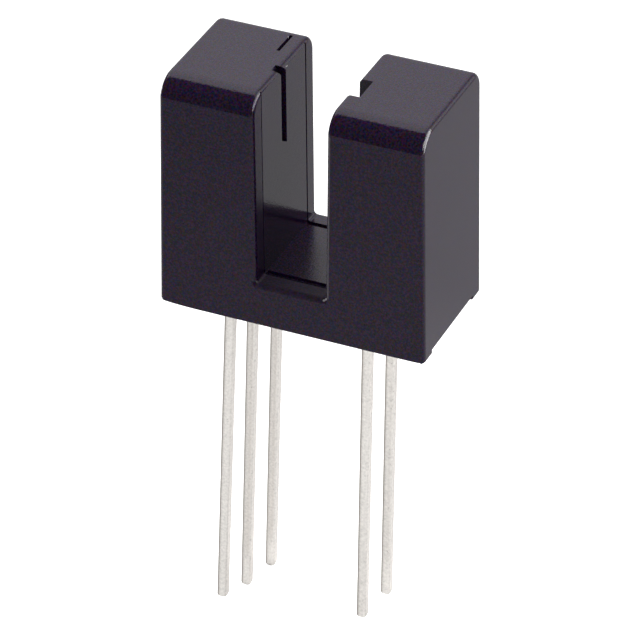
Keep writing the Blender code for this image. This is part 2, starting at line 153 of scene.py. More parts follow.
class HousingSettings(bpy.types.PropertyGroup):
    """Sizes and finish of the moulded housing."""
    width: length("Width", "Length along the light beam at the base",
                  (HOUSING_HIGH.x - HOUSING_LOW.x) / MM)
    depth: length("Depth", "Size from front to back", (HOUSING_HIGH.y - HOUSING_LOW.y) / MM)
    height: length("Height", "Height above the seating plane", HOUSING_HIGH.z / MM)
    side_draft: length("Side draft", "How far each side leans in at the top", 0.2)
    front_fillet: length("Front fillet", "Rounding between the top and the front", 1.08)
    front_crease: degrees("Front crease", "Turn where the fillet meets the front", 12.8)
    back_fillet: length("Back fillet", "Rounding between the top and the back", 0.76)
    edge_radius: length("Edge radius", "Rounding of the outside edges", 0.24)
    base_edge: length("Base edge", "Rounding of the edges round the base", 0.06)
    slot_width: length("Slot width", "Gap between the arms at the slot's floor", 3.19)
    slot_floor: length("Slot floor", "Height of the slot's floor", 2.06)
    slot_draft: length("Slot draft", "How far each slot wall leans back at the top", 0.08)
    slot_corner: length("Slot corner", "Rounding between the slot's floor and walls", 0.15)
    slot_wall: length("Slot wall", "Wall between the slot and each pocket", 0.68)
    margin: length("Groove margin", "Distance of each groove from the front or back", 0.91)
    groove_depth: length("Groove depth", "Depth of the grooves in the slot's walls", 0.05)
    groove_width: length("Groove width", "Width of the grooves in the slot's walls", 0.09)
    rail_height: length("Rail height", "Height of the two rails below the housing", 0.25)
    rail_width: length("Rail width", "Width of each rail", 0.89)
    aperture_bottom: length("Aperture bottom", "Height of both apertures' lower end", 7.2)
    notch_width: length("Notch width", "Width of the emitter's open notch", 1.4)
    notch_shift: length("Notch shift", "How far the notch sits towards the front", 0.45)
    slit_width: length("Slit width", "Width of the sensor's slit", 0.5)
    index_width: length("Index width", "Width of the index groove", 0.15)
    index_length: length("Index length", "Length of the index groove", 1.42)
    index_depth: length("Index depth", "Depth of the index groove", 0.22)
    plastic_dark: colour("Plastic dark", "Darkest tone of the speckled plastic",
                         (0.003, 0.0005, 0.007))
    plastic_light: colour("Plastic light", "Lightest tone of the speckled plastic",
                          (0.0285, 0.0125, 0.043))
    roughness: share("Roughness", "Roughness of the plastic", 0.1)
    gloss: share("Gloss", "Strength of the plastic's reflections", 0.2)


class LeadSettings(bpy.types.PropertyGroup):
    """Sizes and finish of the five tinned leads."""
    size: length("Size", "Side of a lead's square section", 0.46)
    edge: length("Edge", "Rounding of a lead's long edges", 0.115)
    tip: length("Tip", "Length of the rounded tip", 0.16)
    tin: colour("Tin", "Colour of the tinned surface", (0.885, 0.855, 0.815))
    roughness: share("Roughness", "Roughness of the tinned surface", 0.32)


class InsideSettings(bpy.types.PropertyGroup):
    """Finishes of the packages, chips, bond wires and potting."""
    epoxy: colour("Epoxy", "Colour of the packages' dark epoxy", (0.010, 0.006, 0.012))
    chip: colour("Chip", "Colour of the chips", (0.16, 0.17, 0.22))
    gold: colour("Gold", "Colour of the bond wires", (0.90, 0.62, 0.22))
    potting: colour("Potting", "Colour of the potting compound", (0.020, 0.019, 0.022))


class StageSettings(bpy.types.PropertyGroup):
    """Camera, lamps and floor."""
    azimuth: degrees("Azimuth", "Camera's place round the part", 23.7746)
    elevation: degrees("Elevation", "Camera's height above the horizon", 33.3426)
    roll: degrees("Roll", "Camera's roll", -0.0257)
    distance: length("Distance", "Camera's distance", 183.401)
    lens: amount("Lens", "Camera's focal length in millimetres", 239.425)
    aim_right: length("Aim right", "Camera's aim to the right of the origin", -0.0149)
    aim_up: length("Aim up", "Camera's aim above the origin", -1.0501)
    floor_tone: share("Floor", "Colour of the floor below the part", 0.78)
    floor_left: amount("Floor left", "How much darker the floor is to the left", 0.16)
    floor_back: amount("Floor back", "How much darker the floor is behind the part", 0.345)
    floor_front: length("Floor front", "How far the floor reaches in front of the part", 60.0)
    background: share("Background", "Light that the floor adds for the camera", 1.0)
    reflected: share("Reflected", "Light that the floor adds in reflections", 0.1)
    ambient: share("Ambient", "Soft light from all round", 0.22)
    sky_reach: length("Backdrop reach", "Radius of the glowing backdrop behind the part", 300.0)
    sky_low: amount("Backdrop foot", "Brightness at the backdrop's foot", 0.6)
    sky_high: amount("Backdrop top", "Brightness added at the backdrop's top", 2.8)
    sky_right: amount("Backdrop right", "Brightness added at the backdrop's right", 1.3)


# Shapes, drawn in millimetres

def in_mm(settings):
    """The lengths of a settings group in millimetres, by name."""
    sizes = {}
    for name, prop in settings.bl_rna.properties.items():
        if prop.type == "FLOAT" and prop.unit == "LENGTH":
            sizes[name] = getattr(settings, name) / MM
    return sizes


def block(low, high):
    """A box between two opposite corners."""
    shape = bmesh.new()
    size = Vector(high) - Vector(low)
    middle = (Vector(high) + Vector(low)) / 2.0
    placed = Matrix.Translation(middle) @ Matrix.Diagonal((*size, 1.0))
    bmesh.ops.create_cube(shape, size=1.0, matrix=placed)
    return shape


def prism(outline, start, end, point):
    """An outline of pairs closed into a prism; point turns a pair and a travel into 3-D."""
    shape = bmesh.new()
    near = [shape.verts.new(point(pair, start)) for pair in outline]
    far = [shape.verts.new(point(pair, end)) for pair in outline]
    shape.faces.new(near)
    shape.faces.new(reversed(far))
    for index in range(len(outline)):
        following = (index + 1) % len(outline)
        shape.faces.new((near[index], far[index], far[following], near[following]))
    return shape


def prism_along_y(outline, front, back):
    return prism(outline, front, back, lambda pair, y: (pair[0], y, pair[1]))


def prism_along_x(outline, left, right):
    return prism(outline, left, right, lambda pair, x: (x, pair[0], pair[1]))


def loft(rings):
    """Skin a stack of rings that all have the same number of points, and cap both ends."""
    shape = bmesh.new()
    rows = [[shape.verts.new(point) for point in ring] for ring in rings]
    shape.faces.new(rows[0])
    shape.faces.new(reversed(rows[-1]))
    for lower, upper in zip(rows, rows[1:]):
        for index in range(len(lower)):
            following = (index + 1) % len(lower)
            shape.faces.new((lower[index], upper[index], upper[following], lower[following]))
    return shape


def put_in_scene(name, shape):
    bmesh.ops.recalc_face_normals(shape, faces=shape.faces)
    mesh = bpy.data.meshes.new(name)
    shape.to_mesh(mesh)
    shape.free()
    item = bpy.data.objects.new(name, mesh)
    bpy.context.scene.collection.objects.link(item)
    return item


def apply_modifiers(item):
    """Give an object the mesh that its modifiers make."""
    depsgraph = bpy.context.evaluated_depsgraph_get()
    result = bpy.data.meshes.new_from_object(item.evaluated_get(depsgraph))
    old = item.data
    item.modifiers.clear()
    item.data = result
    bpy.data.meshes.remove(old)


def cut_out(item, cutters):
    """Take each cutter's shape out of an object."""
    for number, cutter in enumerate(cutters):
        tool = put_in_scene("cutter_%d" % number, cutter)
        step = item.modifiers.new("cut", "BOOLEAN")
        step.operation = "DIFFERENCE"
        step.solver = "EXACT"
        step.object = tool
    apply_modifiers(item)
    for number in range(len(cutters)):
        bpy.data.objects.remove(bpy.data.objects["cutter_%d" % number])


def finish_piece(item, material, node):
    """Scale a finished shape to metres, and let it stand for its CAD node."""
    item.data.transform(Matrix.Scale(MM, 4))
    item.data.materials.clear()
    item.data.materials.append(material)
    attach(item, "root")
    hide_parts(node)


# Shader parts

PATCH_SCALE = 1800.0
FLECK_SCALE = 11500.0
DRAWN_ALONG_Z = (1.0, 1.0, 0.04)


def add_node(tree, kind, place, **values):
    node = tree.nodes.new(kind)
    node.location = place
    for name, value in values.items():
        setattr(node, name, value)
    return node


def set_inputs(node, **values):
    for name, value in values.items():
        node.inputs[name.replace("_", " ")].default_value = value


def node_of(tree, kind):
    return [node for node in tree.nodes if node.type == kind][0]


def sockets_of(sockets, kind):
    return [socket for socket in sockets if socket.type == kind]


def new_group(name, inputs, outputs):
    """An empty node group with a Vector, float inputs by name, and outputs of some kinds."""
    tree = bpy.data.node_groups.new(name, "ShaderNodeTree")
    tree.interface.new_socket("Vector", in_out="INPUT", socket_type="NodeSocketVector")
    for socket, value in inputs.items():
        made = tree.interface.new_socket(socket, in_out="INPUT", socket_type="NodeSocketFloat")
        made.default_value = value
    for socket, kind in outputs.items():
        tree.interface.new_socket(socket, in_out="OUTPUT", socket_type="NodeSocket" + kind)
    return tree


def noise(tree, place, vector, scale, detail=2.0, output="Fac"):
    """A noise whose scale comes from a socket or a number."""
    node = add_node(tree, "ShaderNodeTexNoise", place)
    set_inputs(node, Detail=detail, Roughness=0.5)
    tree.links.new(vector, node.inputs["Vector"])
    if isinstance(scale, float):
        node.inputs["Scale"].default_value = scale
    else:
        tree.links.new(scale, node.inputs["Scale"])
    return node.outputs[output]


def maths(tree, place, operation, *sources, kind="ShaderNodeMath"):
    """A Math or Vector Math node whose sources are sockets, numbers or tuples."""
    node = add_node(tree, kind, place, operation=operation)
    for index, source in enumerate(sources):
        if isinstance(source, bpy.types.NodeSocket):
            tree.links.new(source, node.inputs[index])
        else:
            node.inputs[index].default_value = source
    return node.outputs[0]


def vector_maths(tree, place, operation, *sources):
    return maths(tree, place, operation, *sources, kind="ShaderNodeVectorMath")


def ramp(tree, place, source, low, high, low_value=0.0, high_value=1.0):
    node = add_node(tree, "ShaderNodeMapRange", place)
    set_inputs(node, From_Min=low, From_Max=high, To_Min=low_value, To_Max=high_value)
    tree.links.new(source, node.inputs["Value"])
    return node.outputs["Result"]


def tinted(tree, place, mask, base, colour, blend="MIX"):
    """Blend a colour into a base by a mask."""
    node = add_node(tree, "ShaderNodeMix", place, data_type="RGBA", blend_type=blend)
    first, second = sockets_of(node.inputs, "RGBA")
    tree.links.new(mask, node.inputs[0])
    tree.links.new(base, first)
    second.default_value = (*colour, 1.0)
    return sockets_of(node.outputs, "RGBA")[0]


def moulded_surface():
    """Surface of moulded plastic: broad sink marks, fine grain and coloured flecks."""
    name = "moulded_surface"
    if name in bpy.data.node_groups:
        return bpy.data.node_groups[name]
    tree = new_group(name, {"Roughness": 0.2, "Spread": 0.05, "Wave Scale": 400.0,
                            "Grain Scale": 14000.0, "Grain": 0.3, "Contrast": 1.0},
                     {"Roughness": "Float", "Height": "Float", "Tone": "Color"})
    entry = add_node(tree, "NodeGroupInput", (-900, 0))
    leave = add_node(tree, "NodeGroupOutput", (700, 0))
    vector = entry.outputs["Vector"]
    wave = noise(tree, (-600, 200), vector, entry.outputs["Wave Scale"], 1.0)
    grain = noise(tree, (-600, -50), vector, entry.outputs["Grain Scale"], 3.0)
    patches = noise(tree, (-600, -300), vector, PATCH_SCALE, 4.0)
    fine = maths(tree, (-300, -50), "MULTIPLY", grain, entry.outputs["Grain"])
    height = maths(tree, (0, 100), "ADD", wave, fine)
    spread = maths(tree, (-300, -300), "SUBTRACT", patches, 0.5)
    varied = maths(tree, (0, -300), "MULTIPLY_ADD", spread, entry.outputs["Spread"],
                   entry.outputs["Roughness"])
    fleck = noise(tree, (-600, -550), vector, FLECK_SCALE, 1.0, "Color")
    half = (0.5, 0.5, 0.5)
    centred = vector_maths(tree, (-300, -550), "SUBTRACT", fleck, half)
    tone = vector_maths(tree, (0, -550), "MULTIPLY_ADD", centred, entry.outputs["Contrast"], half)
    tree.links.new(tone, leave.inputs["Tone"])
    tree.links.new(varied, leave.inputs["Roughness"])
    tree.links.new(height, leave.inputs["Height"])
    return tree


def worked_metal():
    """Surface of worked metal: drawn lines along Z, and a faint mottling."""
    name = "worked_metal"
    if name in bpy.data.node_groups:
        return bpy.data.node_groups[name]
    tree = new_group(name, {"Roughness": 0.3, "Spread": 0.1, "Line Scale": 9000.0,
                            "Mottle Scale": 2500.0, "Mottle": 0.5, "Contrast": 1.0},
                     {"Tone": "Float", "Roughness": "Float", "Height": "Float"})
    entry = add_node(tree, "NodeGroupInput", (-900, 0))
    leave = add_node(tree, "NodeGroupOutput", (700, 0))
    drawn = vector_maths(tree, (-750, 200), "MULTIPLY", entry.outputs["Vector"], DRAWN_ALONG_Z)
    lines = noise(tree, (-600, 200), drawn, entry.outputs["Line Scale"], 2.0)
    mottle = noise(tree, (-600, -50), entry.outputs["Vector"], entry.outputs["Mottle Scale"], 4.0)
    blotches = maths(tree, (-300, -50), "MULTIPLY", mottle, entry.outputs["Mottle"])
    height = maths(tree, (0, 100), "ADD", lines, blotches)
    spread = maths(tree, (-300, -300), "SUBTRACT", mottle, 0.5)
    varied = maths(tree, (0, -300), "MULTIPLY_ADD", spread, entry.outputs["Spread"],
                   entry.outputs["Roughness"])
    tone = maths(tree, (-300, -550), "MULTIPLY_ADD", mottle, entry.outputs["Contrast"], 0.5)
    half = maths(tree, (-300, -700), "MULTIPLY", entry.outputs["Contrast"], 0.5)
    tone = maths(tree, (0, -550), "SUBTRACT", tone, half)
    tree.links.new(tone, leave.inputs["Tone"])
    tree.links.new(varied, leave.inputs["Roughness"])
    tree.links.new(height, leave.inputs["Height"])
    return tree


def surface_material(name, group, low_tone, high_tone, bump, metallic=0.0, **values):
    """A Principled material painted by a surface group between two tones, with bump in metres."""
    material = bpy.data.materials.new(name)
    material.use_nodes = True
    tree = material.node_tree
    shader = tree.nodes["Principled BSDF"]
    shader.inputs["Metallic"].default_value = metallic
    place = add_node(tree, "ShaderNodeTexCoord", (-1100, 0))
    surface = add_node(tree, "ShaderNodeGroup", (-850, 0), node_tree=group)
    set_inputs(surface, **values)
    tree.links.new(place.outputs["Object"], surface.inputs["Vector"])
    tint = add_node(tree, "ShaderNodeMix", (-450, 200), data_type="VECTOR",
                    factor_mode="NON_UNIFORM", clamp_factor=True)
    factor, first, second = sockets_of(tint.inputs, "VECTOR")
    first.default_value = low_tone
    second.default_value = high_tone
    tree.links.new(surface.outputs["Tone"], factor)
    dents = add_node(tree, "ShaderNodeBump", (-450, -200))
    dents.inputs["Strength"].default_value = 1.0
    dents.inputs["Distance"].default_value = bump
    tree.links.new(surface.outputs["Height"], dents.inputs["Height"])
    tree.links.new(sockets_of(tint.outputs, "VECTOR")[0], shader.inputs["Base Color"])
    tree.links.new(surface.outputs["Roughness"], shader.inputs["Roughness"])
    tree.links.new(dents.outputs["Normal"], shader.inputs["Normal"])
    return material, shader


def tones(base, dark, light):
    """A darker and a lighter version of a colour."""
    return [value * dark for value in base], [min(value * light, 1.0) for value in base]


# Housing

def cut_off(shape, point, normal):
    """Cut a shape by a plane, drop what lies beyond the plane and close the cut."""
    everything = shape.verts[:] + shape.edges[:] + shape.faces[:]
    result = bmesh.ops.bisect_plane(shape, geom=everything, plane_co=point, plane_no=normal,
                                    clear_outer=True)
    rims = [item for item in result["geom_cut"] if isinstance(item, bmesh.types.BMEdge)]
    bmesh.ops.holes_fill(shape, edges=rims)


def round_edges(shape, edges, radius, segments):
    bmesh.ops.bevel(shape, geom=edges, offset=radius, offset_type="OFFSET", segments=segments,
                    profile=0.5, affect="EDGES")


def slot_half(size, height):
    """Half the slot's width at a height."""
    rise = (height - size["slot_floor"]) / (size["height"] - size["slot_floor"])
    return size["slot_width"] / 2.0 + size["slot_draft"] * rise


def rail_end(half, reach, rise):
    """The rail's lower edge near one end, where it curves up a little."""
    points = []
    for step in range(RAIL_END_STEPS + 1):
        travel = step / RAIL_END_STEPS
        points.append((half - reach * (1.0 - travel), rise * travel ** 3))
    return points


def round_top(shape, size, side, radius, crease):
    """Round the top towards the front or back, chord by chord. The arc runs smoothly into the
    top and meets the upright face at the crease angle."""
    arc = []
    for step in range(FILLET_STEPS + 1):
        angle = crease + (math.pi / 2.0 - crease) * step / FILLET_STEPS
        inward = radius * (math.cos(crease) - math.cos(angle))
        arc.append((side * (size["depth"] / 2.0 - inward),
                    size["height"] - radius + radius * math.sin(angle)))
    for (low_y, low_z), (high_y, high_z) in zip(arc, arc[1:]):
        cut_off(shape, (0.0, low_y, low_z), (0.0, side * (high_z - low_z), side * (low_y - high_y)))


def housing_blank(size, crease):
    """The U-shaped block with its drafts, fillets and rounded edges, before it is hollowed."""
    base = size["width"] / 2.0
    top = base - size["side_draft"]
    upper = [(top, size["height"]), (slot_half(size, size["height"]), size["height"]),
             (size["slot_width"] / 2.0, size["slot_floor"])]
    right_half = rail_end(base, *RIGHT_RAIL_END) + upper
    left_half = [(-x, z) for x, z in reversed(rail_end(base, *LEFT_RAIL_END) + upper)]
    shape = prism_along_y(right_half + left_half, -size["depth"] / 2.0, size["depth"] / 2.0)
    bmesh.ops.recalc_face_normals(shape, faces=shape.faces)
    round_top(shape, size, -1.0, size["front_fillet"], crease)
    round_top(shape, size, 1.0, size["back_fillet"], 0.0)
    floor = size["slot_floor"]
    corners = [edge for edge in shape.edges if not edge.is_convex
               and all(abs(vert.co.z - floor) < TOLERANCE for vert in edge.verts)]
    round_edges(shape, corners, size["slot_corner"], EDGE_STEPS)

    def sharp_edges(at_base):
        return [edge for edge in shape.edges
                if edge.is_convex and edge.calc_face_angle() > ROUNDED_FROM
                and all(vert.co.z < BASE_ZONE for vert in edge.verts) == at_base]

    round_edges(shape, sharp_edges(False), size["edge_radius"], EDGE_STEPS)
    round_edges(shape, sharp_edges(True), size["base_edge"], BASE_EDGE_STEPS)
    return shape


def slot_lining(size, deep, front, back):
    """A stretch of the slot's walls and floor, to be cut away to a depth, with sharp corners."""
    bottom = size["slot_width"] / 2.0 + deep
    top = slot_half(size, size["height"]) + deep
    floor = size["slot_floor"] - deep
    outline = [(-bottom, floor), (bottom, floor), (top, size["height"] + deep),
               (-top, size["height"] + deep)]
    return prism_along_y(outline, front, back)


def slot_groove(size, middle):
    """A shallow groove that runs down one slot wall, over the floor and up the other."""
    half = size["groove_width"] / 2.0
    return slot_lining(size, size["groove_depth"], middle - half, middle + half)


def floor_groove(size, middle):
    """The wider stretch of the same groove along the slot's floor."""
    reach = size["slot_width"] / 2.0 - size["groove_depth"]
    half = FLOOR_GROOVE_WIDTH / 2.0
    return block((-reach, middle - half, size["slot_floor"] - FLOOR_GROOVE_DEPTH),
                 (reach, middle + half, size["slot_floor"] + size["groove_depth"]))


def slot_cuts(size):
    """The band between the grooves, set back a hair, and the grooves themselves."""
    reach = size["depth"] / 2.0 - size["margin"]
    cuts = [slot_lining(size, BAND_SETBACK, -reach, reach)]
    for wall_middle, floor_middle in zip((-reach, reach), FLOOR_GROOVES):
        cuts += [slot_groove(size, wall_middle), floor_groove(size, floor_middle)]
    return cuts


def arm_cavity(size, side):
    """An arm's hollow: a mouth, the package's pocket, and a core pocket behind a rib."""
    inner = size["slot_width"] / 2.0 + size["slot_wall"]
    pocket = inner + POCKET_WIDTH
    core = pocket + RIB
    outer = size["width"] / 2.0 - OUTER_WALL
    top = size["height"] - CAVITY_TOP_WALL
    below = -size["rail_height"] - 0.05
    outline = [
        (inner, below), (inner, top), (pocket, top), (pocket, MOUTH_HEIGHT),
        (core, MOUTH_HEIGHT), (core, top), (outer, top), (outer, below),
    ]
    half = CAVITY_DEPTH / 2.0
    return prism_along_y([(side * x, z) for x, z in outline], -half, half)


def aperture_cuts(size):
    """The emitter's open notch, the sensor's slit with its leaning upper end, and the index
    groove."""
    inner = size["slot_width"] / 2.0 + size["slot_wall"] + OVERSHOOT
    top = size["height"]
    rim = slot_half(size, top)
    bottom = size["aperture_bottom"]
    half = size["notch_width"] / 2.0
    notch = block((0.0, -size["notch_shift"] - half, bottom),
                  (inner, half - size["notch_shift"], top + 1.0))
    half = size["slit_width"] / 2.0
    sill = [(-half, bottom + SLIT_SLOPE), (half, bottom)]
    end = top - SLIT_STRAIGHT_END
    slit = prism_along_x(sill + [(half, end), (-half, end)], -inner, 0.0)
    low = top - SLIT_LEAN_START
    high = top + SLIT_LEAN_START
    upper = prism_along_x(sill + [(half, low), (half - SLIT_LEAN, high),
                                  (-half - SLIT_LEAN, high), (-half, low)],
                          -rim - SLIT_REACH, 0.0)
    middle = -rim - INDEX_FROM_RIM
    half = size["index_width"] / 2.0
    back = size["depth"] / 2.0 - INDEX_FROM_BACK
    index = block((middle - half, back - size["index_length"], top - size["index_depth"]),
                  (middle + half, back, top + 0.3))
    return [notch, slit, upper, index]


def zone(tree, top, parts, low, high, soft):
    """A mask that is 1 inside a box given in millimetres and fades out over a soft rim."""
    mask = 1.0
    for row, axis in enumerate("XYZ"):
        place = top - 220 * row
        rising = ramp(tree, (-900, place), parts.outputs[axis], (low[row] - soft) * MM,
                      (low[row] + soft) * MM)
        falling = ramp(tree, (-700, place), parts.outputs[axis], (high[row] - soft) * MM,
                       (high[row] + soft) * MM, 1.0, 0.0)
        both = maths(tree, (-500, place), "MULTIPLY", rising, falling)
        mask = maths(tree, (-300, place), "MULTIPLY", mask, both)
    return mask


# Middle in millimetres, and radius, of each painted glint: a small pale spot on the housing's edges
# and corners that stands in for a highlight
PAINTED_GLINTS = (
    ((1.52, -3.15, 2.05), 0.075), ((1.6, -3.13, 2.11), 0.065),
    ((-1.56, -3.15, 2.1), 0.05), ((-6.05, -3.15, 0.16), 0.045),
    ((-5.85, -3.08, 10.16), 0.045), ((1.85, -3.07, 10.19), 0.045), ((-2.44, 2.27, 11.02), 0.05),
    ((-1.7, 0.27, 10.84), 0.04), ((-1.7, 0.38, 10.82), 0.04),
)
# Pale colour painted into the plastic at the glints and down the edge beside the slot, as painted
# highlight
GLINT_TONE = (0.6, 0.58, 0.6)
# Share of the pale tone painted down the right arm's front edge beside the slot, as painted
# highlight
EDGE_HIGHLIGHT_SHARE = 0.14
SILL_PALENESS = 0.006
GROUND_DULLNESS = 0.12
MARGIN_DULLNESS = 0.23
SILL_DULLNESS = 0.45
RIPPLE_SCALE = 5200.0
RIPPLE_HEIGHT = 1.6
RIPPLE_STRETCH = (0.4, 1.0, 1.0)
GROUND_RIM = 0.05
MARGIN_RIM = 0.04
SILL_RIM = 0.08
EDGE_HIGHLIGHT_RIM = 0.05


def add_painted_glints(tree, place, marks):
    """Add a small soft spot of painted highlight for each glint to a mask."""
    for number, (middle, radius) in enumerate(PAINTED_GLINTS):
        top = 700 + 160 * number
        gap = add_node(tree, "ShaderNodeVectorMath", (-900, top), operation="DISTANCE")
        gap.inputs[1].default_value = Vector(middle) * MM
        tree.links.new(place.outputs["Object"], gap.inputs[0])
        mark = ramp(tree, (-700, top), gap.outputs["Value"], radius * 0.7 * MM,
                    radius * 1.3 * MM, 1.0, 0.0)
        marks = maths(tree, (-500, top), "MAXIMUM", marks, mark)
    return marks


def roughen_slot_and_paint_highlights(tree, shader, size):
    """The slot's floor and sill and the front margins of its walls are duller than the rest. The
    floor has fine ripples and the sill is a little paler. The edge beside the slot and small glint
    spots on edges and corners get a paler colour as painted highlights."""
    surface = node_of(tree, "GROUP")
    place = node_of(tree, "TEX_COORD")
    parts = add_node(tree, "ShaderNodeSeparateXYZ", (-1300, -600))
    tree.links.new(place.outputs["Object"], parts.inputs[0])
    half = size["slot_width"] / 2.0
    front = -size["depth"] / 2.0
    floor = size["slot_floor"]
    ground = zone(tree, -600, parts, (-half, front + 0.15, floor - 0.3),
                  (half, -front, floor + 0.05), GROUND_RIM)
    margin = zone(tree, -1300, parts, (-half - 0.2, front + 0.2, floor + 0.05),
                  (half + 0.2, front + size["margin"], size["height"] + 1.0), MARGIN_RIM)
    sill = zone(tree, -2000, parts, (-half, front - 0.2, floor - 0.25),
                (half, front + size["margin"] + 0.15, floor + 0.05), SILL_RIM)
    socket = shader.inputs["Roughness"]
    for mask, rougher in ((ground, GROUND_DULLNESS), (margin, MARGIN_DULLNESS),
                          (sill, SILL_DULLNESS)):
        known = socket.links[0].from_socket
        tree.links.new(maths(tree, (-100, -900), "MULTIPLY_ADD", mask, rougher, known), socket)
    stretched = vector_maths(tree, (-1300, -300), "MULTIPLY", place.outputs["Object"],
                             RIPPLE_STRETCH)
    ripples = noise(tree, (-1100, -300), stretched, RIPPLE_SCALE, 2.0)
    ripples = maths(tree, (-900, -300), "MULTIPLY", ripples, ground)
    height = maths(tree, (-700, -300), "MULTIPLY_ADD", ripples, RIPPLE_HEIGHT,
                   surface.outputs["Height"])
    tree.links.new(height, node_of(tree, "BUMP").inputs["Height"])
    # Painted highlight: faces at the right arm's front edge that turn towards the slot get a paler
    # colour
    facing = add_node(tree, "ShaderNodeSeparateXYZ", (-1300, 500))
    tree.links.new(place.outputs["Normal"], facing.inputs[0])
    turned = ramp(tree, (-1100, 500), facing.outputs["X"], -0.2, -0.45)
    edge = zone(tree, 2600, parts, (half - 0.1, front - 0.2, floor + 0.1),
                (half + 0.4, front + 0.2, size["height"] - 0.95), EDGE_HIGHLIGHT_RIM)
    pale = maths(tree, (-900, 500), "MULTIPLY", turned, edge)
    pale = maths(tree, (-700, 500), "MULTIPLY", pale, EDGE_HIGHLIGHT_SHARE)
    pale = maths(tree, (-500, 500), "MULTIPLY_ADD", sill, SILL_PALENESS, pale)
    # The painted highlight, the painted glints and the slightly paler sill are blended into the
    # plastic's colour
    base = shader.inputs["Base Color"]
    tree.links.new(tinted(tree, (-200, 500), add_painted_glints(tree, place, pale),
                          base.links[0].from_socket, GLINT_TONE), base)


def build_housing(settings):
    size = in_mm(settings)
    housing = put_in_scene("housing_moulding", housing_blank(size, settings.front_crease))
    reach = size["width"]
    inside = size["depth"] / 2.0 - size["rail_width"]
    relief = block((-reach, -inside, -size["rail_height"]), (reach, inside, size["rail_height"]))
    cut_out(housing, [relief, arm_cavity(size, 1.0), arm_cavity(size, -1.0)]
            + aperture_cuts(size) + slot_cuts(size))
    housing.data.shade_smooth()
    housing.data.set_sharp_from_angle(angle=HOUSING_CREASE)
    weigh = housing.modifiers.new("even_normals", "WEIGHTED_NORMAL")
    weigh.keep_sharp = True
    weigh.weight = 100
    apply_modifiers(housing)
    plastic, shader = surface_material(
        "housing_plastic_with_painted_highlights", moulded_surface(), settings.plastic_dark,
        settings.plastic_light, bump=0.000002, Roughness=settings.roughness, Spread=0.1,
        Wave_Scale=350.0, Grain_Scale=13000.0, Grain=2.4, Contrast=4.5)
    shader.inputs["Specular IOR Level"].default_value = settings.gloss
    roughen_slot_and_paint_highlights(plastic.node_tree, shader, size)
    finish_piece(housing, plastic, "housing")


# Leads

LEADS = {
    "emitter_lead_anode": {"foot": 2.80, "row": -1.27, "lean": -0.19, "length": 15.60},
    "emitter_lead_cathode": {"foot": 2.86, "row": 1.27, "lean": -0.16, "length": 16.04},
    "sensor_lead_supply": {"foot": -3.35, "row": -1.9, "lean": -0.61, "length": 16.00},
    "sensor_lead_ground": {"foot": -3.15, "row": 0.0, "lean": -0.50, "length": 16.54},
    "sensor_lead_output": {"foot": -2.85, "row": 1.9, "lean": -0.45, "length": 16.64},
}
LEAD_PLANE = 3.35
BEND_BOTTOM = 1.75
BEND_TOP = 2.7
HEAD_BOTTOM = 8.3
HEAD_TOP = 9.6
HEAD_NECK = 0.3
PAD_REACH = 0.55
POST_END = 0.8
TIP_STEPS = 5
BEND_STEPS = 8
CORNER_STEPS = 6
TIP_TAPER = 0.85
FROM_TIP = (3.0, 8.0)
LEAD_CREASE = math.radians(50.0)

# Painted shade on the leads: axis of the surface normal, where the shade starts, where it is full,
# and the colour that darkens the tin on that side of a lead
LEAD_PAINTED_SHADES = (
    ("X", -0.02, -0.2, (0.44, 0.42, 0.4)),
    ("X", 0.4, 0.85, (0.8, 0.79, 0.79)),
    ("Y", 0.1, 0.5, (0.85, 0.83, 0.84)),
)


def section(centre, half_x, low, high, edge, z):
    """One section of a lead: a rectangle with rounded corners."""
    ring = []
    corners = ((half_x - edge, high - edge, 0.0), (edge - half_x, high - edge, 90.0),
               (edge - half_x, low + edge, 180.0), (half_x - edge, low + edge, 270.0))
    for corner_x, corner_y, start in corners:
        for step in range(CORNER_STEPS + 1):
            angle = math.radians(start + 90.0 * step / CORNER_STEPS)
            ring.append((centre + corner_x + edge * math.cos(angle),
                         corner_y + edge * math.sin(angle), z))
    return ring


def smooth_step(value):
    value = min(max(value, 0.0), 1.0)
    return value * value * (3.0 - 2.0 * value)


def lead_x(name, height):
    """How far a lead stands from its foot at a height."""
    lead = LEADS[name]
    if height < 0.0:
        return -lead["lean"] * height / lead["length"]
    side = 1.0 if name.startswith("emitter") else -1.0
    jog = side * LEAD_PLANE - lead["foot"]
    return jog * smooth_step((height - BEND_BOTTOM) / (BEND_TOP - BEND_BOTTOM))


def head_span(name, half):
    """From where to where the widened top of a lead reaches."""
    own = LEADS[name]["row"]
    if name in ("emitter_lead_cathode", "sensor_lead_ground"):
        return min(-half, -own - PAD_REACH), max(half, -own + PAD_REACH)
    end = math.copysign(POST_END, own) - own
    return min(-half, end), max(half, end)


